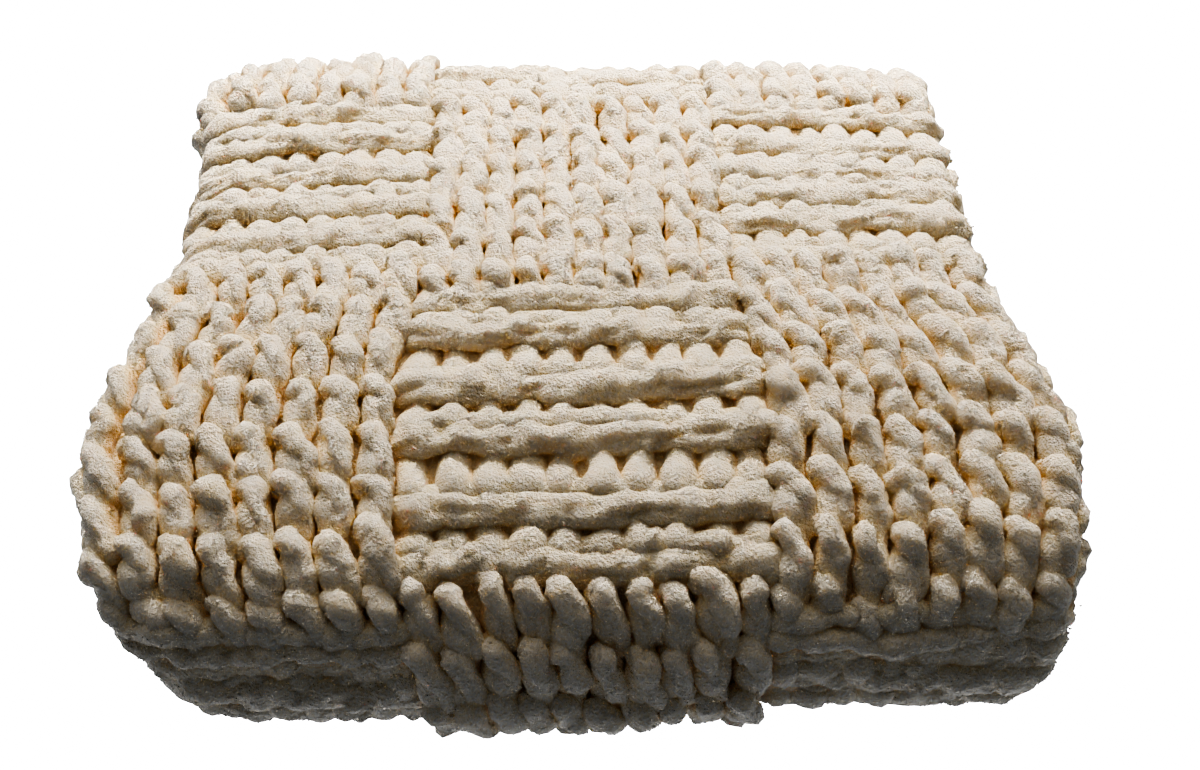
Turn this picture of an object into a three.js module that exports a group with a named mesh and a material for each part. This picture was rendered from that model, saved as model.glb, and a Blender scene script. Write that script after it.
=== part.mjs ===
// A crocheted baby blanket in chunky chenille yarn: folded in half, then in thirds, and laid down as a packet.
// Millimetres, +Z up. The big fold faces -Y, the side fold faces -X, and the origin is under the middle.
import * as THREE from 'three';

// Stitches: blocks of upright posts alternate with blocks of level ridges.
const STITCH_WIDTH = 12.5;
const ROW_LENGTH = 19.25;
const HALF_ROW = ROW_LENGTH / 2;
const BLOCK_STITCHES = 10;
const BLOCK_ROWS = 6;
const POST = { valley: 2.5, neck: 7, crest: 8.5 };
const RIDGE = { valley: 0, crest: 6.5 };
const POST_OVERLAP = 2; // half rows by which a post block hangs over the ridge block in front of it

// The cloth doubled over: two layers with a little air between them, joined by the fold on the left.
const HALF_DOUBLED = 14;
const LAYER_GAP = 1;
const LEFT_STITCHES = 7;
const RIGHT_STITCHES = 8;
const MIDDLE_HALF = (BLOCK_STITCHES * STITCH_WIDTH) / 2;
const FOLD_X = -MIDDLE_HALF - LEFT_STITCHES * STITCH_WIDTH;
const EDGE_X = MIDDLE_HALF + RIGHT_STITCHES * STITCH_WIDTH;
const FOLD_STEPS = 8;
const EDGE_STEPS = 4;
const HIDDEN_STEPS = 5;

// The folded section seen from the side. It starts at the free edge under the back, heads for the front, wraps
// over the top and tucks in at the back. Each run has its length along the middle of the doubled cloth, the angle
// it turns through in degrees, half the doubled cloth's thickness at its end, and whether its stitches show.
const RUNS = [
  { name: 'underside', length: 262, turn: 0, half: 14, shows: false },
  { name: 'front fold, low part', length: 34.8, turn: -100, half: 14, shows: true },
  { name: 'front fold, high part', length: 41.1, turn: -63, half: 14, shows: true },
  { name: 'front slope', length: 82.2, turn: -14, half: 14, shows: true },
  { name: 'top', length: 129.1, turn: -7, half: 14, shows: true },
  { name: 'back shoulder', length: 30.4, turn: -22, half: 14, shows: true },
  { name: 'back fold', length: 40.3, turn: -154, half: 14, shows: true },
  { name: 'tucked third, rising', length: 60, turn: -5, half: 16.5, shows: false },
  { name: 'tucked third, level', length: 90, turn: 6.5, half: 17, shows: false },
  { name: 'tucked third, falling', length: 68, turn: 4.5, half: 12, shows: false },
];
const START = { y: 144, z: HALF_DOUBLED, heading: 180 };
const FIRST_BLOCK = 351; // outer length from the free edge to the front block row on top
const COARSE_STEP = 75;
const RELIEF_FADE = { from: 30, to: 85 }; // degrees turned away from a hidden face
const FOLD_FADE = { from: -0.9, to: -0.2 }; // the same round the side fold, as the rise of its outward direction

// How the packet has settled: its sides sink, its corners set back, and each side swells at a post block and draws
// in at a ridge block. The low front corners draw in further, and the back stands higher on the left.
const HALF_WIDTH = 175;
const HALF_DEPTH = 150;
const SIDE_SINK = 0.05;
const CORNER_SET_BACK = { left: 12, right: 8 };
const SIDE_LINE = [
  { y: -150, left: -6, right: -4 },
  { y: -110, left: 0, right: 3 },
  { y: -85, left: 4, right: 5 },
  { y: -58, left: 0, right: 0 },
  { y: -20, left: -11, right: -13 },
  { y: 25, left: -17, right: -14 },
  { y: 75, left: -17, right: -12 },
  { y: 105, left: -13, right: -9 },
  { y: 155, left: -13, right: -8 },
];
const LOW_FRONT = { left: 30, right: 13, below: 75, from: 40, to: 140 };
const BACK_LIFT = { left: 6.5, right: 2.5, reach: 110, limit: 1.2, from: 10, to: 120, full: 90 };

const { clamp, lerp, smoothstep, degToRad: radians } = THREE.MathUtils;
const outerLength = (run) => run.length + Math.abs(radians(run.turn)) * HALF_DOUBLED;

// The middle of the doubled cloth at a distance measured along its outer face: place, heading and half thickness.
function station(outer) {
  let { y, z, heading } = START;
  let half = HALF_DOUBLED;
  let left = outer;
  for (const run of RUNS) {
    const share = Math.min(left / outerLength(run), 1);
    const bend = radians(run.turn * share);
    const stretch = bend === 0 ? 1 : Math.sin(bend / 2) / (bend / 2);
    const chord = run.length * share * stretch;
    const direction = radians(heading) + bend / 2;
    y += chord * Math.cos(direction);
    z += chord * Math.sin(direction);
    heading += run.turn * share;
    half = lerp(half, run.half, share);
    left -= outerLength(run);
    if (left <= 0) break;
  }
  return { outer, y, z, heading, half };
}

// Two stations a row where the stitches show, and a few on the flat underside and the tucked third.
function stations() {
  const list = [];
  let start = 0;
  for (const run of RUNS) {
    const end = start + outerLength(run);
    const step = run.shows ? HALF_ROW : COARSE_STEP;
    const first = run.shows ? FIRST_BLOCK + Math.ceil((start - FIRST_BLOCK) / HALF_ROW) * HALF_ROW : start;
    for (let outer = first; outer < end; outer += step) list.push(outer);
    start = end;
  }
  list.push(start);
  return list.map(station);
}

// Height of the stitches over the cloth's face. Across and along are counted in half stitches and half rows, so odd
// counts are crests and even ones are the valleys between them.
function relief(acrossHalf, alongHalf) {
  const column = Math.floor((acrossHalf / 2 + BLOCK_STITCHES / 2) / BLOCK_STITCHES);
  const isPosts = (count) => (column + Math.floor(count / 2 / BLOCK_ROWS)) % 2 !== 0;
  const isPostBlock = isPosts(alongHalf) || isPosts(alongHalf + POST_OVERLAP);
  const oddAcross = acrossHalf % 2 !== 0;
  const oddAlong = alongHalf % 2 !== 0;
  if (!isPostBlock) return oddAlong ? RIDGE.crest : RIDGE.valley;
  if (!oddAcross) return POST.valley;
  return oddAlong ? POST.crest : POST.neck;
}

// One round of the doubled cloth's section: x across, n as a share of the half thickness, and for the faces that
// show, the count of half stitches from the middle and the direction in which the stitches stand up.
function sectionRound() {
  const round = [];
  const gap = LAYER_GAP / 2 / HALF_DOUBLED;
  const layerMiddle = (1 + gap) / 2;
  const layerHalf = (1 - gap) / 2;
  const add = (x, n, extra = {}) => round.push({ x, n, bulge: 0, up: null, ...extra });

  const edgeHalf = Math.round((EDGE_X / STITCH_WIDTH) * 2);
  const foldHalf = Math.round((FOLD_X / STITCH_WIDTH) * 2);
  for (let k = edgeHalf; k > foldHalf; k -= 1) {
    add((k * STITCH_WIDTH) / 2, 1, { up: { x: 0, n: 1 }, acrossHalf: k });
  }
  for (let k = 0; k < FOLD_STEPS; k += 1) {
    const angle = (Math.PI * k) / FOLD_STEPS;
    const up = { x: -Math.sin(angle), n: Math.cos(angle) };
    add(FOLD_X, up.n, { bulge: up.x, up, acrossHalf: foldHalf - k });
  }
  const across = (k) => lerp(FOLD_X, EDGE_X, k / HIDDEN_STEPS);
  const addEdge = (side) => {
    for (let k = 1; k < EDGE_STEPS; k += 1) {
      const angle = (Math.PI * k) / EDGE_STEPS;
      add(EDGE_X, side * layerMiddle - layerHalf * Math.cos(angle), { bulge: layerHalf * Math.sin(angle) });
    }
  };
  for (let k = 0; k <= HIDDEN_STEPS; k += 1) add(across(k), -1);
  addEdge(-1);
  for (let k = HIDDEN_STEPS; k >= 0; k -= 1) add(across(k), -gap);
  for (let k = 0; k <= HIDDEN_STEPS; k += 1) add(across(k), gap);
  addEdge(1);
  return round;
}

function smoothTable(table, y, side) {
  const next = table.findIndex((row) => row.y > y);
  if (next === 0) return table[0][side];
  if (next < 0) return table.at(-1)[side];
  const [a, b] = [table[next - 1], table[next]];
  return lerp(a[side], b[side], smoothstep(y, a.y, b.y));
}

function settle(point) {
  const side = point.x < 0 ? 'left' : 'right';
  const across = Math.abs(point.x) / HALF_WIDTH;
  const along = clamp(point.y / HALF_DEPTH, -1, 1);
  const low = clamp(1 - point.z / LOW_FRONT.below, 0, 1) * smoothstep(-point.y, LOW_FRONT.from, LOW_FRONT.to);
  const swell = smoothTable(SIDE_LINE, point.y, side) - LOW_FRONT[side] * low;
  const lean = clamp(-point.x / BACK_LIFT.reach, -BACK_LIFT.limit, BACK_LIFT.limit);
  const raised = smoothstep(point.y, BACK_LIFT.from, BACK_LIFT.to) * clamp(point.z / BACK_LIFT.full, 0, 1);
  const x = point.x * (1 + swell / HALF_WIDTH);
  const y = point.y - CORNER_SET_BACK[side] * across ** 5 * along ** 3;
  const z = point.z * (1 - SIDE_SINK * across ** 3) + BACK_LIFT[side] * lean * raised;
  return point.set(x, y, z);
}

// One vertex: the section's point set out from the station, with its stitch relief, then settled.
function vertex(place, corner) {
  const heading = radians(place.heading);
  const normal = { y: -Math.sin(heading), z: Math.cos(heading) };
  const turned = 180 - Math.abs(place.heading);
  let n = corner.n * place.half;
  let x = corner.x + corner.bulge * place.half;
  if (corner.up) {
    const alongHalf = Math.round((place.outer - FIRST_BLOCK) / HALF_ROW);
    const shown = smoothstep(turned, RELIEF_FADE.from, RELIEF_FADE.to);
    const outside = smoothstep(corner.up.n, FOLD_FADE.from, FOLD_FADE.to);
    const height = shown * outside * relief(corner.acrossHalf, alongHalf);
    n += corner.up.n * height;
    x += corner.up.x * height;
  }
  return settle(new THREE.Vector3(x, place.y + normal.y * n, place.z + normal.z * n));
}

// A closed tube of section rounds along the stations, with a flat cap at each free edge.
function foldedCloth() {
  const round = sectionRound();
  const places = stations();
  const count = round.length;
  const positions = places.flatMap((place) => round.flatMap((corner) => vertex(place, corner).toArray()));
  const index = [];
  for (let i = 0; i + 1 < places.length; i += 1) {
    for (let j = 0; j < count; j += 1) {
      const a = i * count + j;
      const b = i * count + ((j + 1) % count);
      index.push(a, a + count, b, b, a + count, b + count);
    }
  }
  const outline = round.map((corner) => new THREE.Vector2(corner.x + corner.bulge * HALF_DOUBLED,
    corner.n * HALF_DOUBLED));
  const last = (places.length - 1) * count;
  for (const [a, b, c] of THREE.ShapeUtils.triangulateShape(outline, [])) {
    index.push(a, b, c);
    index.push(last + a, last + c, last + b);
  }
  const geometry = new THREE.BufferGeometry();
  geometry.setAttribute('position', new THREE.Float32BufferAttribute(positions, 3));
  geometry.setIndex(index);
  geometry.computeBoundingBox();
  const middle = geometry.boundingBox.getCenter(new THREE.Vector3());
  geometry.translate(-middle.x, -middle.y, 0);
  geometry.computeVertexNormals();
  return geometry;
}

const chenille = new THREE.MeshStandardMaterial({ color: 0xf3ead6, roughness: 0.95, metalness: 0 });
const blanket = new THREE.Mesh(foldedCloth(), chenille);
blanket.name = 'blanket';

const part = new THREE.Group();
part.add(blanket);

export default part;
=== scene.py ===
"""A folded basketweave baby blanket: chunky cream chenille yarn, laid stitch by stitch on the folded cloth.

Sizes are in millimetres until a mesh is made. A place on the cloth is given by three numbers: across,
counted to the right from the middle; along, counted over the outer face from the free edge under the back,
round the front fold and over the top; and height, out of the outer face.
"""

import bmesh
import bpy
import numpy as np
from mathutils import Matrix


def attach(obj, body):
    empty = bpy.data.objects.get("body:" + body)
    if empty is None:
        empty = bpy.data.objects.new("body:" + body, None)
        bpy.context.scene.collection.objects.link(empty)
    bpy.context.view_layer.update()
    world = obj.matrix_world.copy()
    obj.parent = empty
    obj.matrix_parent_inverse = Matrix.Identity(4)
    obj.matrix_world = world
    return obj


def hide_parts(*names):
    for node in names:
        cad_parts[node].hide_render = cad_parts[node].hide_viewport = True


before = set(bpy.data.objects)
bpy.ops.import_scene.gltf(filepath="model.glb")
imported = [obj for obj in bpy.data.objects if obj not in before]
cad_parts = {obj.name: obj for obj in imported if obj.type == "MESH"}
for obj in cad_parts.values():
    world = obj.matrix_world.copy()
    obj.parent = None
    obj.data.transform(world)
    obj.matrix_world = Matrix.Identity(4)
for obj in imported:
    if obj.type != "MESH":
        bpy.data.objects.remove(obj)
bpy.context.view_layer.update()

MM = 0.001
TURN = 2 * np.pi

# The doubled cloth: two layers with a little air between them, joined by the half-round fold on the left
HALF_DOUBLED = 14.0
LAYER_GAP = 1.0
LAYER_MIDDLE = (HALF_DOUBLED + LAYER_GAP / 2) / 2
FOLD_X = -150.0
EDGE_X = 162.5
FOLD_ARC = np.pi * HALF_DOUBLED

# Its folded line seen from the side: each run's length, the angle it turns through, and the half thickness
# at its end
START_Y = 144.0
START_HEADING = 180.0
RUNS = (
    (262.0, 0.0, 14.0),
    (34.8, -100.0, 14.0),
    (41.1, -63.0, 14.0),
    (82.2, -14.0, 14.0),
    (129.1, -7.0, 14.0),
    (30.4, -22.0, 14.0),
    (40.3, -154.0, 14.0),
    (60.0, -5.0, 16.5),
    (90.0, 6.5, 17.0),
    (68.0, 4.5, 12.0),
)
RUN_POINTS = 200
UNDERSIDE_END = 262.0
BACK_FOLD_END = 706.0

# How the packet has settled: its sides sink, and its corners set back
HALF_WIDTH = 175.0
HALF_DEPTH = 150.0
SIDE_SINK = 0.05
SET_BACK_LEFT, SET_BACK_RIGHT = 12.0, 8.0
# How far each side stands out at these places, from front to back
SIDE_Y = (-150.0, -110.0, -85.0, -58.0, -20.0, 25.0, 75.0, 105.0, 155.0)
SWELL_LEFT = (-6.0, 0.0, 4.0, 0.0, -11.0, -17.0, -17.0, -13.0, -13.0)
SWELL_RIGHT = (-4.0, 3.0, 5.0, 0.0, -13.0, -14.0, -12.0, -9.0, -8.0)
# How far the front corners draw in below a height, growing between two distances in front of the middle
LOW_LEFT, LOW_RIGHT = 30.0, 13.0
LOW_BELOW = 75.0
LOW_FROM, LOW_TO = 40.0, 140.0
# The back rises on the left and sinks on the right
LIFT_LEFT, LIFT_RIGHT = 6.5, 2.5
LIFT_REACH, LIFT_LIMIT = 110.0, 1.2
LIFT_FROM, LIFT_TO, LIFT_FULL = 10.0, 120.0, 90.0
# The middle of the settled packet, which goes to the origin
PACKET_MIDDLE = (0.26, -1.43)
# Stitches sink into the cloth where the outer face lies under or inside, by degrees turned from there
HIDDEN_TURN, SHOWN_TURN = 30.0, 85.0
UNDER_SINK = 8.5
# How far the cloth lies under the outer face, and inside the right edge
BODY_SINK = 0.5
EDGE_INSET = 9.0

# Stitches and yarn, and the columns of blocks from left to right
STITCH = 12.4
ROW = 19.3
STRAND_RADIUS = 4.0
MIDDLE_EDGE = 62.0
FOLD_SHARE = 0.95
LEFT_END = FOLD_X - FOLD_SHARE * FOLD_ARC
LEFT = (LEFT_END, -MIDDLE_EDGE)
MIDDLE = (-MIDDLE_EDGE, MIDDLE_EDGE)
RIGHT = (MIDDLE_EDGE, EDGE_X)
FOLD_OVERLAP = 10.0
FOLD = (LEFT_END, FOLD_X + FOLD_OVERLAP)
HEM = (FOLD_X, EDGE_X)


def smooth_step(value, low, high):
    """Zero below low, one above high, and the cubic 3t^2 - 2t^3 between."""
    t = np.clip((value - low) / (high - low), 0, 1)
    return t * t * (3 - 2 * t)


def spaced(start, end, step):
    """Even values from start to end, about one step apart."""
    return np.linspace(start, end, int(abs(end - start) / step) + 2)


def fold_line():
    """The middle of the doubled cloth seen from the side: arcs and straight runs joined end to end.

    A point of a run is reached by the chord of its arc, at the heading of the start turned by half of the
    bend so far. The rows are the outer face's length so far, y, z, heading and half thickness. The outer
    face is longer than the middle by the bend times the half thickness.
    """
    outer, y, z = 0.0, START_Y, HALF_DOUBLED
    heading, half = START_HEADING, HALF_DOUBLED
    runs = []
    for length, turn, end_half in RUNS:
        share = np.linspace(0, 1, RUN_POINTS)
        bend = np.radians(turn) * share
        chord = length * share * np.sinc(bend / TURN)
        direction = np.radians(heading) + bend / 2
        outer_length = length + abs(np.radians(turn)) * HALF_DOUBLED
        place_y, place_z = y + chord * np.cos(direction), z + chord * np.sin(direction)
        thickness = half + (end_half - half) * share
        rows = [outer + outer_length * share, place_y, place_z, np.radians(heading) + bend, thickness]
        runs.append(np.stack(rows))
        outer, y, z = outer + outer_length, place_y[-1], place_z[-1]
        heading, half = heading + turn, end_half
    return np.concatenate(runs, axis=1)


LINE_ALONG, LINE_Y, LINE_Z, LINE_HEADING, LINE_HALF = fold_line()
TOTAL_ALONG = LINE_ALONG[-1]


def side_swell(y, swell):
    """How far a side stands out at y: smooth steps between the table's rows."""
    total = np.full(y.shape, swell[0])
    for k in range(len(SIDE_Y) - 1):
        total += (swell[k + 1] - swell[k]) * smooth_step(y, SIDE_Y[k], SIDE_Y[k + 1])
    return total


def settle(x, y, z):
    """The packet's slump, with the left and the right side apart.

    Each side follows its swell and draws in at the low front corner, the corners set back with the fifth
    power of x, the sides sink with its cube, and the back rises to the left.
    """
    across = np.abs(x) / HALF_WIDTH
    forward = np.clip(y / HALF_DEPTH, -1, 1)
    low = np.clip(1 - z / LOW_BELOW, 0, 1) * smooth_step(-y, LOW_FROM, LOW_TO)
    swell_left = side_swell(y, SWELL_LEFT) - LOW_LEFT * low
    swell_right = side_swell(y, SWELL_RIGHT) - LOW_RIGHT * low
    lean = np.clip(-x / LIFT_REACH, -LIFT_LIMIT, LIFT_LIMIT)
    raised = lean * smooth_step(y, LIFT_FROM, LIFT_TO) * np.clip(z / LIFT_FULL, 0, 1)
    left = x < 0
    settled_x = x * (1 + np.where(left, swell_left, swell_right) / HALF_WIDTH)
    settled_y = y - np.where(left, SET_BACK_LEFT, SET_BACK_RIGHT) * across**5 * forward**3
    settled_z = z * (1 - SIDE_SINK * across**3) + np.where(left, LIFT_LEFT, LIFT_RIGHT) * raised
    return np.stack([settled_x - PACKET_MIDDLE[0], settled_y - PACKET_MIDDLE[1], settled_z], axis=-1)


def shown(along):
    """One where the outer face looks outwards, fading to zero where it lies underneath or is tucked in."""
    heading = np.interp(along, LINE_ALONG, LINE_HEADING)
    return smooth_step(180 - np.abs(np.degrees(heading)), HIDDEN_TURN, SHOWN_TURN)


def from_section(along, x, n):
    """Carries a section point, x across and n out of the middle, to its place on the folded line."""
    y, z, heading = (np.interp(along, LINE_ALONG, row) for row in (LINE_Y, LINE_Z, LINE_HEADING))
    return settle(x, y - n * np.sin(heading), z + n * np.cos(heading))


def on_face(across, along, height):
    """A point over the outer face, lower where that is hidden.

    Left of the fold line the face is a half circle.
    """
    half = np.interp(along, LINE_ALONG, LINE_HALF)
    reach = half + height - UNDER_SINK * (1 - shown(along))
    angle = np.clip((FOLD_X - across) / HALF_DOUBLED, 0, np.pi)
    return from_section(along, np.maximum(across, FOLD_X) - reach * np.sin(angle), reach * np.cos(angle))


def on_upper_edge(across, along, height):
    """A point outside the right edge of the outer layer, across being counted through the layer."""
    return from_section(along, EDGE_X + height, LAYER_MIDDLE + across)


def on_lower_edge(across, along, height):
    """The same at the right edge of the inner layer."""
    return from_section(along, EDGE_X + height, across - LAYER_MIDDLE)


def on_outer_hem(across, along, height):
    """A point behind the free edge of the outer layer: to the right, down through the layer and outwards."""
    return settle(across, START_Y + height, HALF_DOUBLED - LAYER_MIDDLE - along)


def on_inner_hem(across, along, height):
    """The same at the free edge of the inner layer."""
    return settle(across, START_Y + height, HALF_DOUBLED + LAYER_MIDDLE - along)


def key_curve(keys, place):
    """Smooth lines through rows of keys: the Catmull-Rom cubic between each two, with key k at place k."""
    first = np.floor(place).astype(int)
    f = (place - first)[:, None]
    a, b, c, d = (keys[:, np.clip(first + k, 0, keys.shape[1] - 1)] for k in (-1, 0, 1, 2))
    return b + f / 2 * (c - a + f * (2 * a - 5 * b + 4 * c - d + f * (3 * (b - c) + d - a)))


def between(knots, place):
    """Rows of random knots, joined by smooth steps: knot k holds where place is k."""
    first = np.floor(place).astype(int)
    before, after = knots[:, first], knots[:, first + 1]
    return before + (after - before) * smooth_step(place - first, 0, 1)


def uneven(rng, rows, place):
    """Smooth random values about zero for a number of rows, new ones at each whole number of place."""
    return between(rng.standard_normal((rows, int(place.max()) + 2)), place)


def lumps(rng, shape, reach):
    """Soft random lumps over rows of rings: noise smoothed by a bell curve, its reach in rings and sides."""
    waves = np.fft.rfft2(rng.standard_normal(shape))
    down, round_ring = np.fft.fftfreq(shape[1])[:, None], np.fft.rfftfreq(shape[2])
    bell = np.exp(-0.5 * TURN**2 * ((down * reach[0]) ** 2 + (round_ring * reach[1]) ** 2))
    smooth = np.fft.irfft2(waves * bell, s=shape[1:])
    return smooth / smooth.std()


# Where each face's stitches lie on the height map
ZONES = {
    on_face: (0, 0),
    on_upper_edge: (230, 0),
    on_lower_edge: (270, 0),
    on_outer_hem: (0, 1020),
    on_inner_hem: (0, 1060),
}

# How a ring's points crowd towards the outside: the share that is spaced evenly, and the share that is cubed
RING_EVEN, RING_CROWDED = 0.72, 0.28
TINY = 1e-9

# One tuft: its size, how the size varies, and as shares of it the depth and width of its foot, the height of
# its tip and how far the tip leans
TUFT_SIZE = 0.9
TUFT_SPREAD = (0.7, 1.3)
TUFT_DEPTH, TUFT_FOOT, TUFT_TIP, TUFT_LEAN = 0.3, 0.8, 0.5, 0.3
TUFT_CORNERS = np.array([[0, 1, 3], [1, 2, 3], [2, 0, 3], [2, 1, 0]])


class Yarn:
    """Collects strands as tube meshes with a pile of tufts, and makes each of the two into one object.

    Its values are the number of points in a ring, the distance from ring to ring, the tufts on a millimetre
    of strand, the seed, and how much more painted shade, creamier and more amber, it gets than its depth
    alone gives it.
    """

    def __init__(self, sides, spacing, density, seed, shade=0.0):
        self.spacing = spacing
        self.density = density
        self.shade = shade
        self.rng = np.random.default_rng(seed)
        turn = 2 * (np.arange(sides) + 0.5) / sides - 1
        self.angle = np.pi * (0.5 + RING_EVEN * turn + RING_CROWDED * turn**3)
        self.strands = Shell()
        self.pile = Shell()

    def lay(self, across, along, height, radius, relief=0.0, place=on_face):
        """Tubes along rows of cloth places: rings of points around each centre line, and a pole at each end.

        A ring lies in the plane of the cloth's normal and of the direction square to it and to the strand,
        and its points crowd towards the outside. Each stands off by the radius and its own relief. The spots
        are the same points as cloth places.
        """
        centre = place(across, along, height)
        above = place(across, along, height + 1)
        tangent = np.gradient(centre, axis=1)
        side = np.cross(tangent, above - centre)
        side /= np.linalg.norm(side, axis=-1, keepdims=True)
        out = np.cross(side, tangent)
        out /= np.linalg.norm(out, axis=-1, keepdims=True)
        strands, count = radius.shape
        sides = len(self.angle)
        reach = np.broadcast_to(radius[..., None] + relief, (strands, count, sides))
        beside, outwards = reach * np.cos(self.angle), reach * np.sin(self.angle)
        across_strand = beside[..., None] * side[:, :, None]
        rings = centre[:, :, None] + across_strand + outwards[..., None] * out[:, :, None]
        course = np.stack([np.gradient(across, axis=1), np.gradient(along, axis=1)])
        course /= np.linalg.norm(course, axis=0) + TINY
        zone = ZONES[place]
        spots = np.stack(
            [
                zone[0] + across[..., None] + beside * course[1][..., None],
                zone[1] + along[..., None] - beside * course[0][..., None],
                height[..., None] + outwards,
            ],
            axis=-1,
        )
        self.strands.add(both_poles(rings), both_poles(spots), tube_faces(strands, count - 2, sides))
        self.tuft(centre, tangent, rings, spots)

    def tuft(self, centre, tangent, rings, spots):
        """Small pointed tufts all over the outer side of the tubes, each a leaning pyramid on three corners.

        A tuft stands at a random place between four points of the rings, out from the centre line, and its
        corners lie a little under the surface.
        """
        rng = self.rng
        length = np.linalg.norm(np.diff(centre, axis=1), axis=-1)
        amount = int(self.density * length.sum())
        chance = np.cumsum(length.ravel()) / length.sum()
        pick = np.searchsorted(chance, rng.uniform(0, 1, amount)).clip(0, length.size - 1)
        strand, ring = np.divmod(pick, length.shape[1])
        corner = rng.integers(1, len(self.angle) - 2, amount)
        f, g = rng.uniform(0, 1, (2, amount, 1))

        def on_ring(values, number):
            """Values between two neighbouring points of a ring."""
            return values[strand, number, corner] * (1 - g) + values[strand, number, corner + 1] * g

        def blend(values):
            """Values at the tufts' places, between one ring and the next."""
            return on_ring(values, ring) * (1 - f) + on_ring(values, ring + 1) * f

        spot = blend(rings)
        out = spot - (centre[strand, ring] * (1 - f) + centre[strand, ring + 1] * f)
        out /= np.linalg.norm(out, axis=-1, keepdims=True)
        heading = tangent[strand, ring]
        lengthwise = heading - out * np.sum(heading * out, axis=-1, keepdims=True)
        lengthwise /= np.linalg.norm(lengthwise, axis=-1, keepdims=True)
        crosswise = np.cross(out, lengthwise)
        size = TUFT_SIZE * rng.uniform(*TUFT_SPREAD, (amount, 1))
        spin = rng.uniform(0, TURN, amount)[:, None] + TURN / 3 * np.arange(3)
        forward, sideways = np.cos(spin)[..., None], np.sin(spin)[..., None]
        round_foot = forward * lengthwise[:, None] + sideways * crosswise[:, None]
        feet = (spot - TUFT_DEPTH * size * out)[:, None] + TUFT_FOOT * size[:, None] * round_foot
        lean = rng.standard_normal((2, amount, 1)) * TUFT_LEAN
        tip = spot + size * (TUFT_TIP * out + lean[0] * lengthwise + lean[1] * crosswise)
        points = np.concatenate([feet, tip[:, None]], axis=1)
        faces = TUFT_CORNERS[None] + points.shape[1] * np.arange(amount)[:, None, None]
        places = np.repeat(blend(spots), points.shape[1], axis=0)
        self.pile.add(points.reshape(-1, 3), places, faces.reshape(-1, 3))

    def lumpy(self, strands, rings, kinds):
        """Lumps of a few kinds, each with its height and size, for tubes about as thick as a strand."""
        sides = len(self.angle)
        total = 0.0
        for height, size in kinds:
            reach = (size / self.spacing, size * sides / (TURN * STRAND_RADIUS))
            total = total + height * lumps(self.rng, (strands, rings, sides), reach)
        return total

    def finish(self, name, material, terrain):
        """The strands and their pile as two objects."""
        shells = {name: self.strands, name + "_pile": self.pile}
        return [shell.finish(each, material, terrain, self.shade) for each, shell in shells.items()]


class Shell:
    """Points, cloth places and triangles of many closed shapes, gathered into one object."""

    def __init__(self):
        self.points = []
        self.spots = []
        self.faces = []
        self.count = 0

    def add(self, points, spots, faces):
        """Adds shapes, with nothing below the floor."""
        points[:, 2] = np.maximum(points[:, 2], 0)
        self.points.append(points)
        self.spots.append(spots)
        self.faces.append(faces + self.count)
        self.count += len(points)

    def finish(self, name, material, terrain, shade):
        """One object, with each point's depth among the stitches plus the extra painted shade as its own
        value, which sets how much shade its colour is painted with.
        """
        piece = mesh_object(name, np.concatenate(self.points), np.concatenate(self.faces), material)
        # Painted shade: the depth plus the extra shade sets how creamy and amber the yarn is painted
        give_depth(piece, np.clip(terrain.depth(np.concatenate(self.spots)) + shade, 0, 1))
        return piece


# The height map: cell size, number of cells, its first corner, and the levels at which it is looked over
CELL = 1.5
TERRAIN_SIZE = (540, 740)
TERRAIN_CORNER = (-215.0, -20.0)
LEVEL_STEP = 2.0
TERRAIN_LEVELS = np.arange(-8.0, 12.0, LEVEL_STEP)
UNDER_LAST_LEVEL = len(TERRAIN_LEVELS) - 1.001
# How far round a point its surroundings count, and how high they stand over it in a deep pit
LOOK_ROUND = 3.2
DEEP = 5.5


class Terrain:
    """The stitches' outer surface as a height map over the cloth, which tells how deep a point lies."""

    def __init__(self, shells):
        """The highest point in each cell and its neighbours, and a blur of what stands over each level."""
        height = np.full(TERRAIN_SIZE, TERRAIN_LEVELS[0])
        for shell in shells:
            for spots in shell.spots:
                np.maximum.at(height, self.cell(spots), spots[:, 2])
        for axis in (0, 1):
            height = np.maximum(height, np.maximum(np.roll(height, 1, axis), np.roll(height, -1, axis)))
        waves = [np.fft.fftfreq(TERRAIN_SIZE[0])[:, None], np.fft.rfftfreq(TERRAIN_SIZE[1])]
        bell = np.exp(-0.5 * (TURN * LOOK_ROUND / CELL) ** 2 * (waves[0] ** 2 + waves[1] ** 2))
        over = np.maximum(height - TERRAIN_LEVELS[:, None, None], 0)
        self.over = np.fft.irfft2(np.fft.rfft2(over) * bell, s=TERRAIN_SIZE)

    def cell(self, spots):
        """The cells in which cloth places lie."""
        cells = np.rint((spots[:, :2] - TERRAIN_CORNER) / CELL).astype(int)
        return tuple(np.clip(cells, 0, np.subtract(TERRAIN_SIZE, 1)).T)

    def depth(self, spots):
        """Zero at a crest, and one where the surroundings stand a deep pit's height over the point."""
        place = np.clip((spots[:, 2] - TERRAIN_LEVELS[0]) / LEVEL_STEP, 0, UNDER_LAST_LEVEL)
        below = place.astype(int)
        share = place - below
        cells = self.cell(spots)
        over = self.over[below, *cells] * (1 - share) + self.over[below + 1, *cells] * share
        return np.clip(over / DEEP, 0, 1)


def both_poles(rings):
    """Rows of points or places of tubes: all rings but the first and last, which shrink to a pole each."""
    ends = rings[:, [0, -1]].mean(axis=2)
    return np.concatenate([rings[:, 1:-1].reshape(len(rings), -1, 3), ends], axis=1).reshape(-1, 3)


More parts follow.
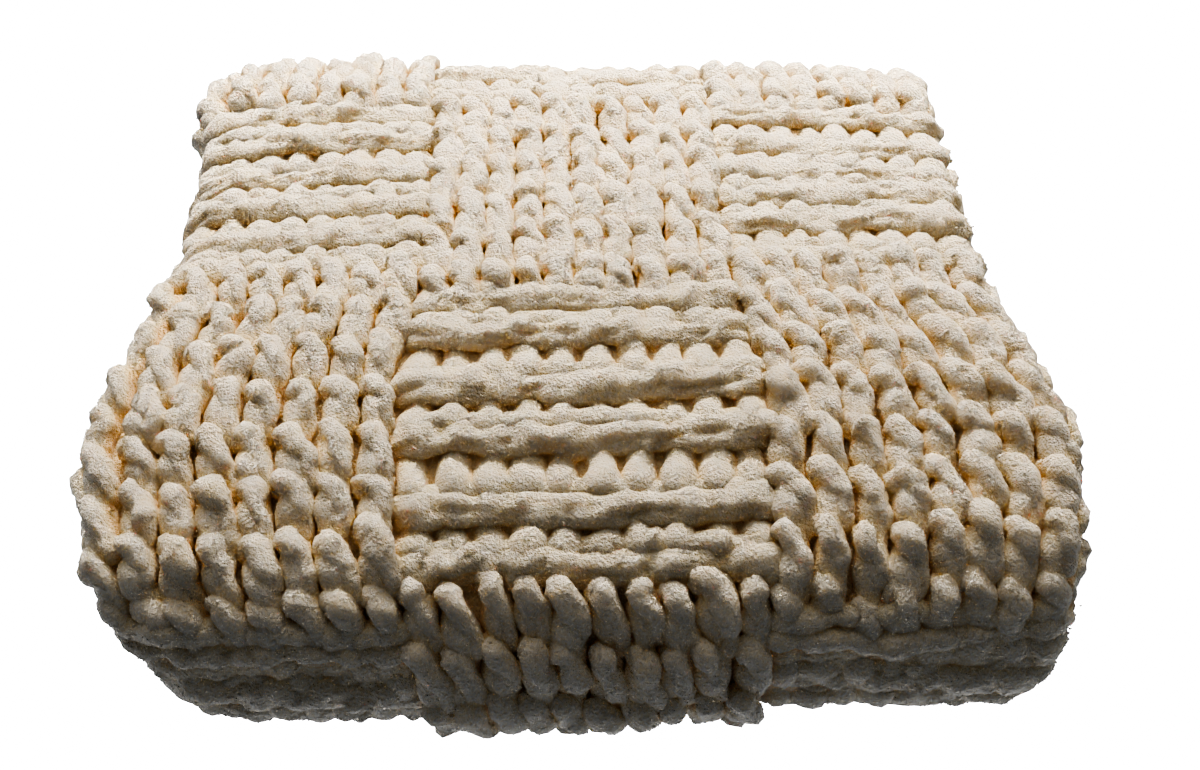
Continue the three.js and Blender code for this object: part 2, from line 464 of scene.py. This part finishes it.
def tube_faces(strands, rings, sides):
    """Corner numbers of the triangles of tubes: two for each cell between rings, and a fan at each pole."""
    ring, side = np.meshgrid(np.arange(rings - 1), np.arange(sides), indexing="ij")
    a, b = ring * sides + side, ring * sides + (side + 1) % sides
    walls = np.stack([a, b + sides, b, a, a + sides, b + sides], axis=-1).reshape(-1, 3)
    corner = np.arange(sides)
    following = (corner + 1) % sides
    last_ring = (rings - 1) * sides
    first_pole = np.full(sides, rings * sides)
    start = np.stack([corner, following, first_pole], axis=-1)
    end = np.stack([last_ring + following, last_ring + corner, first_pole + 1], axis=-1)
    one = np.concatenate([walls, start, end])
    per_strand = rings * sides + 2
    return (one[None] + per_strand * np.arange(strands)[:, None, None]).reshape(-1, 3)


def mesh_object(name, points, triangles, material):
    """A smooth-shaded object on the root body, from points in millimetres and triangles."""
    mesh = bpy.data.meshes.new(name)
    mesh.vertices.add(len(points))
    mesh.vertices.foreach_set("co", (points * MM).astype(np.float32).ravel())
    mesh.loops.add(triangles.size)
    mesh.loops.foreach_set("vertex_index", triangles.astype(np.int32).ravel())
    mesh.polygons.add(len(triangles))
    mesh.polygons.foreach_set("loop_start", np.arange(0, triangles.size, 3, dtype=np.int32))
    mesh.polygons.foreach_set("use_smooth", np.ones(len(triangles), dtype=bool))
    mesh.update(calc_edges=True)
    mesh.materials.append(material)
    piece = bpy.data.objects.new(name, mesh)
    bpy.context.scene.collection.objects.link(piece)
    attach(piece, "root")
    return piece


def give_depth(piece, depth):
    """Stores how deep each vertex lies: zero at the stitches' crest and one at the bottom of a pit. The
    yarn's colour turns this depth into painted shade.
    """
    hollow = piece.data.attributes.new("hollow", "FLOAT", "POINT")
    hollow.data.foreach_set("value", depth.astype(np.float32))


class Signal:
    """A shader socket. Operators on it add Math nodes, and node() adds any other node to the same tree."""

    def __init__(self, tree, socket=None):
        self.tree = tree
        self.socket = socket

    def node(self, kind, settings=None, sockets=None, output=0):
        """One output of a new node, its settings and sockets given by name or number."""
        made = self.tree.nodes.new(kind)
        for name, value in (settings or {}).items():
            setattr(made, name, value)
        for name, value in (sockets or {}).items():
            if isinstance(value, Signal):
                self.tree.links.new(value.socket, made.inputs[name])
            else:
                made.inputs[name].default_value = value
        return Signal(self.tree, made.outputs[output])

    def math(self, operation, other):
        return self.node("ShaderNodeMath", {"operation": operation}, {0: self, 1: other})

    def __add__(self, other):
        return self.math("ADD", other)

    def __sub__(self, other):
        return self.math("SUBTRACT", other)

    def __mul__(self, other):
        return self.math("MULTIPLY", other)

    def mix(self, first, second):
        """The colour from first to second as this value goes from zero to one."""
        settings = {"data_type": "RGBA", "clamp_factor": True}
        return self.node("ShaderNodeMix", settings, {0: self, 6: first, 7: second}, output=2)


# Base colour on the crests, and painted shade in the hollows and in the pits: cream and amber stand in for
# the shade and the warm scattered glow deep among the strands
PALE = (0.94, 0.84, 0.71, 1.0)
CREAM_PAINTED_HOLLOW_SHADE = (0.94, 0.75, 0.42, 1.0)
AMBER_PAINTED_PIT_SHADE = (0.93, 0.63, 0.29, 1.0)
# Noise of single tufts and of clumps of tufts, by repeats in a metre
NUBS = {"Scale": 900.0, "Detail": 2.0, "Roughness": 0.6}
CLUMPS = {"Scale": 260.0, "Detail": 2.0}
# What makes the yarn creamier or paler: depth, as painted shade; tufts and clumps, as random tone that also
# paints shade into the bump's creases; and an even part. The painted amber pit shade starts further down.
HOLLOW_SHADE_BY_DEPTH, CREAM_NUBS, CREAM_CLUMPS, CREAM_EVEN = 1.2, 1.5, 0.6, 1.1
PIT_SHADE_BY_DEPTH, PIT_SHADE_START = 2.4, 1.4
# Bump of the pile, in metres for a whole step of noise
BUMP_NUBS, BUMP_CLUMPS = 2.4, 0.8
BUMP_DISTANCE = 0.0011
YARN_FINISH = {
    "Roughness": 0.95,
    "Specular IOR Level": 0.1,
    "Sheen Weight": 0.5,
    "Sheen Roughness": 0.5,
    "Sheen Tint": PALE,
    "Subsurface Weight": 0.45,
    "Subsurface Radius": (1.0, 0.75, 0.45),
    "Subsurface Scale": 0.006,
}


def chenille(name):
    """Velvety cream pile: painted cream shade in the hollows and painted amber shade in the pits, by each
    point's depth, with fine tufts as bump and a soft sheen at grazing angles.
    """
    material = bpy.data.materials.new(name)
    material.use_nodes = True
    tree = material.node_tree
    principled = tree.nodes["Principled BSDF"]
    place = Signal(tree).node("ShaderNodeTexCoord", output="Object")
    nubs = place.node("ShaderNodeTexNoise", sockets={"Vector": place, **NUBS})
    clumps = place.node("ShaderNodeTexNoise", sockets={"Vector": place, **CLUMPS})
    hollow = place.node("ShaderNodeAttribute", {"attribute_name": "hollow"}, output="Fac")
    # Painted shade: the deeper a point lies among the stitches, the creamier and then the more amber it is
    # painted, and the low spots of the tufts' noise are painted creamier too
    hollow_shade_and_speckle = hollow * HOLLOW_SHADE_BY_DEPTH - nubs * CREAM_NUBS - clumps * CREAM_CLUMPS + CREAM_EVEN
    colour = (hollow * PIT_SHADE_BY_DEPTH - PIT_SHADE_START).mix(hollow_shade_and_speckle.mix(PALE, CREAM_PAINTED_HOLLOW_SHADE), AMBER_PAINTED_PIT_SHADE)
    relief = nubs * BUMP_NUBS + clumps * BUMP_CLUMPS
    bump_sockets = {"Strength": 1.0, "Distance": BUMP_DISTANCE, "Height": relief}
    bump = place.node("ShaderNodeBump", sockets=bump_sockets)
    tree.links.new(colour.socket, principled.inputs["Base Color"])
    tree.links.new(bump.socket, principled.inputs["Normal"])
    principled.subsurface_method = "BURLEY"
    for socket, value in YARN_FINISH.items():
        principled.inputs[socket].default_value = value
    return material


def columns_between(start, end):
    """Middles of the stitches from start to end, at the nearest even pitch to one stitch."""
    count = max(1, round(abs(end - start) / STITCH))
    return start + (end - start) / count * (np.arange(count) + 0.5)


# One upright stitch, as keys of across, share of the row, height and radius. The hook climbs on the right,
# bends over at the top, drops into the cloth on the left and goes on behind to the next row.
HOOK = (
    (2.9, -0.14, 1.6, 3.0),
    (3.1, 0.08, 3.7, 3.4),
    (2.2, 0.36, 5.0, 4.0),
    (-0.2, 0.64, 5.6, 4.6),
    (-2.4, 0.84, 5.0, 4.6),
    (-4.0, 0.84, 2.4, 3.8),
    (-3.0, 0.72, -0.8, 3.0),
    (0.6, 0.78, -1.8, 2.9),
)
# Rings from each key to the next, and how far each key strays in the same four values
HOOK_RINGS = (3, 4, 4, 4, 3, 2, 1, 1)
KEY_SPREAD = (0.5, 0.035, 0.4, 0.25)
# The core that fills the hooks, and how it sways, rises and thickens as it swells, once a row
CORE_ASIDE, CORE_HEIGHT, CORE_RADIUS = -0.3, 1.4, 5.6
CORE_SWAY, CORE_RISE, CORE_TAPER = 0.4, 0.5, 0.7
# The share of the row at which it is thickest, how far that strays, and how much wider its rings are spaced
CORE_HEAD, CORE_DRIFT, CORE_COARSER = 0.3, 0.05, 1.2
# How stitches vary: a column along its rows, and each stitch in size, sideways, in lean, along and in height
COLUMN_SLIP = 0.12
SIZE_SPREAD, SHIFT_SPREAD, LEAN_SPREAD, SLIP_SPREAD, RISE_SPREAD = 0.06, 0.7, 2.0, 0.07, 0.6
# How the ends of a column dive into the cloth, over a share of a row, and how much thinner any diving end is
POST_DIVE, POST_DIVE_ROWS = 6.0, 0.4
DIVE_THINNER = 0.3
# Lumps of the yarn, by height and size
POST_LUMPS = ((0.4, 1.4), (0.5, 2.6))
LEVEL_LUMPS = ((0.4, 1.4), (0.6, 3.0))
SHORT_POST_LUMPS = ((0.5, 2.0),)


def stitch_places(rings, rows):
    """Places of the rings along the keys of a number of rows: each stretch has its own number of rings."""
    steps = [k + np.arange(count) / count for k, count in enumerate(rings)]
    row = np.concatenate(steps)
    return np.append((np.arange(rows)[:, None] * len(rings) + row).ravel(), rows * len(rings))


def post_columns(yarn, columns, start, end, lift=0.0, place=on_face):
    """Upright posts: up every column a thick core, and half sunk in it the hooks of its stitches.

    The core swells once a row, and the hooks run through the keys of one stitch repeated row by row, every
    key straying a little by itself. Every stitch is a little larger or smaller, higher or lower and to one
    side, and both ends dive into the cloth.
    """
    rng = yarn.rng
    count = len(columns)
    rows = round((end - start) / ROW)
    row_length = (end - start) / rows
    knots = rng.standard_normal((5, count, rows + 2))
    offset = rng.uniform(-COLUMN_SLIP, COLUMN_SLIP, (count, 1))

    def lay_varied(row, across, climb, height, radius):
        """Lays one strand up each column, with the variation of its stitches."""
        shift, slip, rise, bulk, lean = (between(each, row) for each in knots)
        dive = 1 - smooth_step(np.minimum(row, rows - row), 0.0, POST_DIVE_ROWS)
        size = 1 + SIZE_SPREAD * bulk
        leaning = LEAN_SPREAD * (climb - row) * lean
        across = across * size + SHIFT_SPREAD * shift + leaning + np.asarray(columns)[:, None]
        along = start + row_length * np.clip(climb + offset + SLIP_SPREAD * slip, 0, rows)
        height = lift + height * size + RISE_SPREAD * rise - POST_DIVE * dive
        relief = yarn.lumpy(count, len(row), POST_LUMPS)
        yarn.lay(across, along, height, radius * size * (1 - DIVE_THINNER * dive), relief, place)

    steps = stitch_places(HOOK_RINGS, rows)
    every = np.tile(np.asarray(HOOK), (rows + 1, 1))
    every[:, 1] += np.repeat(np.arange(rows + 1), len(HOOK))
    stray = rng.standard_normal((count,) + every.shape) * KEY_SPREAD
    lay_varied(steps / len(HOOK), *np.moveaxis(key_curve(every + stray, steps), -1, 0))
    row = np.linspace(0, rows, int(rows * ROW / yarn.spacing / CORE_COARSER))
    swell = np.cos(TURN * (row - CORE_HEAD + CORE_DRIFT * uneven(rng, count, row)))
    core_height, core_radius = CORE_HEIGHT + CORE_RISE * swell, CORE_RADIUS + CORE_TAPER * swell
    lay_varied(row, CORE_ASIDE - CORE_SWAY * swell, row, core_height, core_radius)


# Columns of one strand each: how they vary along and across, and their height and radius with the swelling
PLAIN_SLIP, PLAIN_SWAY = 0.15, 0.8
PLAIN_HEIGHT, PLAIN_RISE = 2.6, 1.2
PLAIN_RADIUS, PLAIN_SWELL = 4.9, 0.9


def plain_columns(yarn, columns, start, end):
    """Upright posts on the underside and along the side fold: one strand a column, swelling at every row."""
    rng = yarn.rng
    along = spaced(start, end, yarn.spacing)
    row = (along - start) / ROW
    count = len(columns)
    knot = 0.5 - 0.5 * np.cos(TURN * (row + rng.uniform(-PLAIN_SLIP, PLAIN_SLIP, (count, 1))))
    across = np.asarray(columns)[:, None] + PLAIN_SWAY * uneven(rng, count, row)
    along = np.broadcast_to(along, across.shape)
    yarn.lay(across, along, PLAIN_HEIGHT + PLAIN_RISE * knot, PLAIN_RADIUS + PLAIN_SWELL * knot)


# How far level strands run past their block, and how their ends dive into the cloth over a length
LEVEL_OVERLAP = 5.0
LEVEL_DIVE, LEVEL_DIVE_LENGTH = 5.0, 9.0
# How level strands vary, by how much and over what length: in size, knots, along and in height
LEVEL_SIZE = (0.08, STITCH)
LEVEL_TURN = (1.3, 22.0)
LEVEL_WANDER = (0.9, 24.0)
LEVEL_RISE = (0.6, 18.0)
# A knot's sway along, its slant round the strand, the softness of its grooves and its mean height
KNOT_SWAY, KNOT_SLANT = 0.5, 0.8
SOFT_GROOVE, KNOT_MEAN = 0.06, 0.75
# A seam's place and width round the strand, how it wanders, and how its depth comes and goes
SEAM_ANGLE, SEAM_WIDTH = 0.27 * np.pi, 0.30
SEAM_WANDER = (0.15, 15.0)
SEAM_FADE = (0.5, 10.0)
SEAM_MEAN, SEAM_LIMIT = 0.8, 1.4


def level_run(yarn, start, end):
    """Places across from start to end and a little past both, the distance run, and the ends' dive."""
    outward = np.sign(end - start) * LEVEL_OVERLAP
    across = spaced(start - outward, end + outward, yarn.spacing)
    measure = np.abs(across - across[0])
    dive = 1 - smooth_step(np.minimum(measure, measure[-1] - measure), 0.0, LEVEL_DIVE_LENGTH)
    return across, measure, dive


def level_strands(
    yarn, rows, start, end, height, radius, lift=(0.0, 0.0), knots=1.0, seam=0.0, flat=0.0, place=on_face
):
    """Level strands along rows of stitches, with a slanting knot at every stitch and both ends tucked in.

    A knot's profile is the root of sin^2 plus a little: a round crest with a soft groove on each side. A
    seam is a bell-shaped groove along the strand's front, which comes and goes. A flat strand is lower by
    sin^2 of the angle round it.
    """
    rng = yarn.rng
    across, measure, dive = level_run(yarn, start, end)
    count = len(rows)

    def varied(kind):
        """Smooth unevenness, by how much and over what length."""
        amount, length = kind
        return amount * uneven(rng, count, measure / length)

    size = radius * (1 + varied(LEVEL_SIZE)) * (1 - DIVE_THINNER * dive)
    turn = TURN * (measure / STITCH + rng.uniform(0, 1, (count, 1))) + varied(LEVEL_TURN)
    along = np.asarray(rows)[:, None] + KNOT_SWAY * np.sin(turn) + varied(LEVEL_WANDER)
    base = lift[0] + (lift[1] - lift[0]) * measure / measure[-1] + height
    slanted = turn[..., None] - KNOT_SLANT * (yarn.angle - np.pi / 2)
    knot = np.sqrt(np.sin(slanted / 2) ** 2 + SOFT_GROOVE) - KNOT_MEAN
    bell = np.exp(-(((yarn.angle - SEAM_ANGLE - varied(SEAM_WANDER)[..., None]) / SEAM_WIDTH) ** 2))
    depth = seam * np.clip(SEAM_MEAN + varied(SEAM_FADE), 0, SEAM_LIMIT)[..., None]
    relief = knots * knot - depth * bell - flat * np.sin(yarn.angle) ** 2
    relief += yarn.lumpy(count, len(across), LEVEL_LUMPS)
    height = base + varied(LEVEL_RISE) - LEVEL_DIVE * dive
    yarn.lay(np.broadcast_to(across, along.shape), along, height, size, relief, place)


# A short post between two ridges: its rings, where it starts and how much shorter than the gap it is, its
# dome, and its height and radius, which both grow with the dome. Posts vary sideways, in lean, in height and
# in bulk.
SHORT_POST_RINGS = 11
SHORT_POST_START, SHORT_POST_SHORTER = 3.0, 5.0
DOME_MIDDLE, DOME_WIDTH = 0.28, 0.22
SHORT_POST_HEIGHT, DOME_HEIGHT = -3.2, 2.6
SHORT_POST_RADIUS, DOME_RADIUS = 6.3, 0.5
SHORT_POST_SHIFT, SHORT_POST_LEAN, SHORT_POST_RISE, SHORT_POST_BULK = 0.6, 1.2, 0.4, 0.05
END_ROUNDING = 0.7


def ridge_posts(yarn, ridges, columns, lift):
    """Short posts set back in the shade between one ridge and the next.

    The dome is a bell curve, and the radius falls to both ends with the sixth power of the distance.
    """
    rng = yarn.rng
    low, column = (grid.reshape(-1, 1) for grid in np.meshgrid(ridges[:-1], columns, indexing="ij"))
    high = np.repeat(np.asarray(ridges[1:]), len(columns))[:, None]
    share = np.linspace(0, 1, SHORT_POST_RINGS)
    dome = np.exp(-(((share - DOME_MIDDLE) / DOME_WIDTH) ** 2))
    shift, lean, rise = rng.standard_normal((3,) + column.shape)
    along = low + SHORT_POST_START + (high - low - SHORT_POST_SHORTER) * share
    across = column + SHORT_POST_SHIFT * shift + SHORT_POST_LEAN * (share - 0.5) * lean
    height = lift + SHORT_POST_HEIGHT + DOME_HEIGHT * dome + SHORT_POST_RISE * rise
    rounding = np.sqrt(1 - END_ROUNDING * (2 * share - 1) ** 6)
    radius = (SHORT_POST_RADIUS + DOME_RADIUS * dome) * (1 + SHORT_POST_BULK * lean) * rounding
    yarn.lay(across, along, height, radius, yarn.lumpy(len(column), len(share), SHORT_POST_LUMPS))


# Where the blocks lie along the outer face
MIDDLE_POSTS = ((262.0, 360.0), (467.0, 592.0))
SIDE_POSTS = ((337.0, 490.0), (586.0, BACK_FOLD_END))
POST_BLOCKS = (
    ("post_strands_middle", MIDDLE, MIDDLE_POSTS),
    ("post_strands_left", LEFT, SIDE_POSTS),
    ("post_strands_right", RIGHT, SIDE_POSTS),
)
MIDDLE_RIDGES = (361.5, 382.2, 408.1, 428.4, 453.0, 467.8)
LEFT_RIDGES = (490.0, 506.4, 526.2, 543.7, 564.5, 583.3)
RIGHT_RIDGES = (488.0, 510.0, 526.4, 541.5, 558.7, 583.1)
FRONT_RIDGES = (264.0, 283.0, 301.0, 318.0, 332.0)
BACK_RIDGES = (600.0, 619.0, 638.0, 657.0, 676.0, 695.0)
# The column, the rows, and how far the first and the last end are lifted
RIDGE_BLOCKS = (
    (MIDDLE, MIDDLE_RIDGES, (0.0, 0.0)),
    (MIDDLE, BACK_RIDGES, (0.0, 0.0)),
    (LEFT, LEFT_RIDGES, (0.0, 0.0)),
    (LEFT, FRONT_RIDGES, (-2.5, -3.5)),
    (RIGHT, RIGHT_RIDGES, (0.0, 0.0)),
    (RIGHT, FRONT_RIDGES, (-5.5, 1.5)),
)
# The level strands: a ridge's thick roll, the heads of its stitches behind it, and the lip of a side block
RIDGE = {"height": 2.0, "radius": 6.8, "knots": 1.5, "seam": 1.6, "flat": 2.2}
HEADS = {"height": 0.4, "radius": 4.4, "knots": 1.4}
HEAD_BEHIND = 6.8
LIP = {"height": 3.4, "radius": 4.7, "knots": 1.6}
LIP_ROWS = (337.5, 344.5)
# How much more painted shade, creamier and more amber, the ridges get than their depth alone gives them
RIDGE_EXTRA_PAINTED_SHADE = 0.12

# The same for the parts that only show from the side, from behind or from below
UNDER_POSTS = (
    (MIDDLE, 28.0, 145.0),
    (LEFT, 117.0, 240.0),
    (RIGHT, 117.0, 240.0),
    (FOLD, 822.0, 930.0),
)
SIDE_UNDER_RIDGES = (10.0, 29.0, 48.0, 67.0, 86.0, 105.0)
UNDER_RIDGES = (
    (MIDDLE, (10.0,)),
    (MIDDLE, (155.0, 174.0, 193.0, 212.0, 231.0, 250.0)),
    (LEFT, SIDE_UNDER_RIDGES),
    (RIGHT, SIDE_UNDER_RIDGES),
    (LEFT, (247.0,)),
    (RIGHT, (247.0,)),
    (FOLD, (718.0, 737.0, 756.0, 775.0, 794.0, 813.0)),
)
# The two strands of a ridge underneath: half the distance between them, their heights and their radius
RIDGE_PLY = 2.8
UPPER_PLY, LOWER_PLY = 4.4, 3.2
PLY_RADIUS = 4.2
# The strands along the free edges, through the layer, and how deep those of the right edges lie
HEM_STRAND = {"height": -1.5, "radius": 4.6}
HEM_ROWS = (-2.6, 2.6)
EDGE_SUNK = -3.0

# Points round the cloth's section, and the distance between its stations
FACE_POINTS, FOLD_POINTS, INNER_POINTS, EDGE_POINTS = 60, 14, 30, 7
HIDDEN_STEP, SHOWN_STEP = 12.0, 6.0
# The depth that the cloth under the stitches is given everywhere. It shows only down in the gaps, so it is
# painted mostly with the amber shade of a deep pit.
BODY_PAINTED_SHADE_DEPTH = 0.85


def body_section():
    """One round of the doubled cloth's section.

    Its rows are x, the bulge across and n, both as shares of the half thickness, and how much the point
    sinks under the stitches. It runs over the outer face from the right edge, round the fold, back along
    the inner face, round that layer's edge, in between the layers and out again, and round the outer
    layer's edge.
    """
    gap = LAYER_GAP / 2 / HALF_DOUBLED
    middle, half = (1 + gap) / 2, (1 - gap) / 2
    right = EDGE_X - EDGE_INSET
    face = np.linspace(right, FOLD_X, FACE_POINTS, endpoint=False)
    turn = np.linspace(0, np.pi, FOLD_POINTS, endpoint=False)
    inner = np.linspace(FOLD_X, right, INNER_POINTS)
    edge = np.linspace(0, np.pi, EDGE_POINTS)[1:-1]

    def part(x, bulge, n, sink=0.0):
        """One part of the round, as rows."""
        return np.stack(np.broadcast_arrays(x, bulge, n, sink))

    return np.concatenate(
        [
            part(face, 0.0, 1.0, 1.0),
            part(FOLD_X, -np.sin(turn), np.cos(turn), 1.0),
            part(inner, 0.0, -1.0),
            part(right, half * np.sin(edge), -middle - half * np.cos(edge)),
            part(inner[::-1], 0.0, -gap),
            part(inner, 0.0, gap),
            part(right, half * np.sin(edge), middle - half * np.cos(edge)),
        ],
        axis=1,
    )


def cloth_body(material):
    """The folded cloth under the stitches: its section carried along the fold line, its ends closed."""
    x, bulge, n, sinks = body_section()
    under = spaced(0, UNDERSIDE_END, HIDDEN_STEP)
    seen = spaced(UNDERSIDE_END, BACK_FOLD_END, SHOWN_STEP)
    tucked = spaced(BACK_FOLD_END, TOTAL_ALONG, HIDDEN_STEP)
    along = np.concatenate([under[:-1], seen[:-1], tucked])[:, None]
    half = np.interp(along, LINE_ALONG, LINE_HALF)
    reach = half - sinks * (BODY_SINK + UNDER_SINK * (1 - shown(along)))
    points = from_section(along, x + bulge * reach, n * reach)
    stations, count = points.shape[:2]
    station, corner = np.meshgrid(np.arange(stations - 1), np.arange(count), indexing="ij")
    a, b = station * count + corner, station * count + (corner + 1) % count
    walls = np.stack([a, a + count, b, b, a + count, b + count], axis=-1).reshape(-1, 3)
    piece = mesh_object("cloth_body", points.reshape(-1, 3), walls, material)
    work = bmesh.new()
    work.from_mesh(piece.data)
    bmesh.ops.holes_fill(work, edges=[edge for edge in work.edges if edge.is_boundary], sides=0)
    bmesh.ops.triangulate(work, faces=[face for face in work.faces if len(face.verts) > 3])
    bmesh.ops.recalc_face_normals(work, faces=work.faces)
    work.to_mesh(piece.data)
    work.free()
    # Painted shade: the whole cloth counts as lying deep among the stitches
    give_depth(piece, np.full(len(piece.data.vertices), BODY_PAINTED_SHADE_DEPTH))
    return piece


def make_blanket():
    """All the strands, and the cloth that carries them."""
    look = chenille("chenille_yarn")
    laid = {}
    for seed, (name, limits, spans) in enumerate(POST_BLOCKS):
        yarn = Yarn(sides=9, spacing=1.6, density=2.6, seed=seed)
        for start, end in spans:
            post_columns(yarn, columns_between(*limits), start, end)
        laid[name] = yarn

    ridges = Yarn(sides=14, spacing=1.8, density=4.5, seed=31, shade=RIDGE_EXTRA_PAINTED_SHADE)
    heads = Yarn(sides=9, spacing=1.8, density=3.2, seed=33, shade=RIDGE_EXTRA_PAINTED_SHADE)
    posts = Yarn(sides=10, spacing=1.8, density=2.5, seed=37, shade=RIDGE_EXTRA_PAINTED_SHADE)
    for limits, rows, lift in RIDGE_BLOCKS:
        head_rows = np.asarray(rows[:-1]) + HEAD_BEHIND
        level_strands(ridges, rows, *limits, **RIDGE, lift=lift)
        level_strands(heads, head_rows, *limits, **HEADS, lift=lift)
        ridge_posts(posts, rows, columns_between(*limits), np.mean(lift))
    for limits in (LEFT, RIGHT):
        level_strands(heads, LIP_ROWS, *limits, **LIP)

    edges = Yarn(sides=8, spacing=2.4, density=1.5, seed=41)
    for place in (on_upper_edge, on_lower_edge):
        post_columns(edges, [0.0], 0.0, TOTAL_ALONG, EDGE_SUNK, place)
    hems = Yarn(sides=8, spacing=2.2, density=2.0, seed=43)
    for place in (on_outer_hem, on_inner_hem):
        level_strands(hems, HEM_ROWS, *HEM, **HEM_STRAND, place=place)
    under = Yarn(sides=8, spacing=3.0, density=0.6, seed=47)
    for limits, start, end in UNDER_POSTS:
        plain_columns(under, columns_between(*limits), start, end)
    for limits, rows in UNDER_RIDGES:
        level_strands(under, np.asarray(rows) + RIDGE_PLY, *limits, UPPER_PLY, PLY_RADIUS)
        level_strands(under, np.asarray(rows) - RIDGE_PLY, *limits, LOWER_PLY, PLY_RADIUS)

    laid |= {"ridge_strands": ridges, "knotted_strands": heads, "ridge_posts": posts}
    laid |= {"edge_strands": edges, "hem_strands": hems, "under_strands": under}
    terrain = Terrain([yarn.strands for yarn in laid.values()])
    pieces = [piece for name, yarn in laid.items() for piece in yarn.finish(name, look, terrain)]
    body = cloth_body(look)
    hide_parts("blanket")


# Lamps, floor and fill, in metres, watts and degrees
LAMP_COLOUR = (1.0, 0.93, 0.83)
FLOOR_REACH = 80.0
FLOOR_COLOUR = (0.95, 0.95, 0.95, 1.0)
FLOOR_GLOW = 20.0
FILL_COLOUR = (0.86, 0.97, 1.0, 1.0)
FILL_STRENGTH = 0.052


def make_lamp(name, size, power, place, tilt, spread):
    """A warm, soft rectangular lamp shining down, tilted forwards. A small spread acts as a grid."""
    lamp = bpy.data.lights.new(name, "AREA")
    lamp.shape = "RECTANGLE"
    lamp.size, lamp.size_y = size
    lamp.energy = power
    lamp.color = LAMP_COLOUR
    lamp.spread = np.radians(spread)
    lamp_object = bpy.data.objects.new(name, lamp)
    lamp_object.location = place
    lamp_object.rotation_euler = (np.radians(tilt), 0, 0)
    bpy.context.scene.collection.objects.link(lamp_object)


def make_floor():
    """A white floor. It glows, so that it shows without shadows, but its glow doesn't light the blanket."""
    corners = [(x * FLOOR_REACH, y * FLOOR_REACH, 0) for x, y in ((-1, -1), (1, -1), (1, 1), (-1, 1))]
    mesh = bpy.data.meshes.new("floor")
    mesh.from_pydata(corners, [], [(0, 1, 2, 3)])
    floor = bpy.data.objects.new("floor", mesh)
    bpy.context.scene.collection.objects.link(floor)
    material = bpy.data.materials.new("floor_white")
    material.use_nodes = True
    shader = material.node_tree.nodes["Principled BSDF"]
    shader.inputs["Base Color"].default_value = FLOOR_COLOUR
    shader.inputs["Roughness"].default_value = 1.0
    shader.inputs["Specular IOR Level"].default_value = 0.0
    shader.inputs["Emission Color"].default_value = (1.0, 1.0, 1.0, 1.0)
    shader.inputs["Emission Strength"].default_value = FLOOR_GLOW
    mesh.materials.append(material)
    floor.visible_diffuse = False


def make_stage():
    """The floor, a narrow lamp low behind, a broad one above it, and a faint fill from all round."""
    make_floor()
    make_lamp("behind", size=(0.9, 0.4), power=10.0, place=(0.0, 0.64, 0.51), tilt=-39.0, spread=53.0)
    make_lamp("overhead", size=(1.4, 0.8), power=6.5, place=(0.0, 0.55, 1.15), tilt=-24.0, spread=180.0)
    scene = bpy.context.scene
    scene.world = bpy.data.worlds.new("studio")
    scene.world.use_nodes = True
    background = scene.world.node_tree.nodes["Background"]
    background.inputs["Color"].default_value = FILL_COLOUR
    background.inputs["Strength"].default_value = FILL_STRENGTH
    scene.view_settings.view_transform = "AgX"
    scene.view_settings.look = "AgX - Medium High Contrast"


# The photograph's view: width and focal length in pixels, place in millimetres, and angles in degrees
IMAGE_WIDTH = 1200
FOCAL_PIXELS = 1500
CAMERA_PLACE = (-6.8, -431.0, 461.8)
CAMERA_PITCH = 45.1
CAMERA_YAW = 2.08
SENSOR_WIDTH = 36.0
CLIP_START = 0.01


def make_camera():
    """The photograph's view: in front and above, looking down at about 45 degrees."""
    camera = bpy.data.cameras.new("photo_view")
    camera.sensor_fit = "HORIZONTAL"
    camera.sensor_width = SENSOR_WIDTH
    camera.lens = SENSOR_WIDTH * FOCAL_PIXELS / IMAGE_WIDTH
    camera.clip_start = CLIP_START
    view = bpy.data.objects.new("photo_view", camera)
    view.location = tuple(MM * value for value in CAMERA_PLACE)
    view.rotation_euler = (np.radians(90 - CAMERA_PITCH), 0, np.radians(-CAMERA_YAW))
    bpy.context.scene.collection.objects.link(view)
    bpy.context.scene.camera = view


make_camera()
make_stage()
make_blanket()
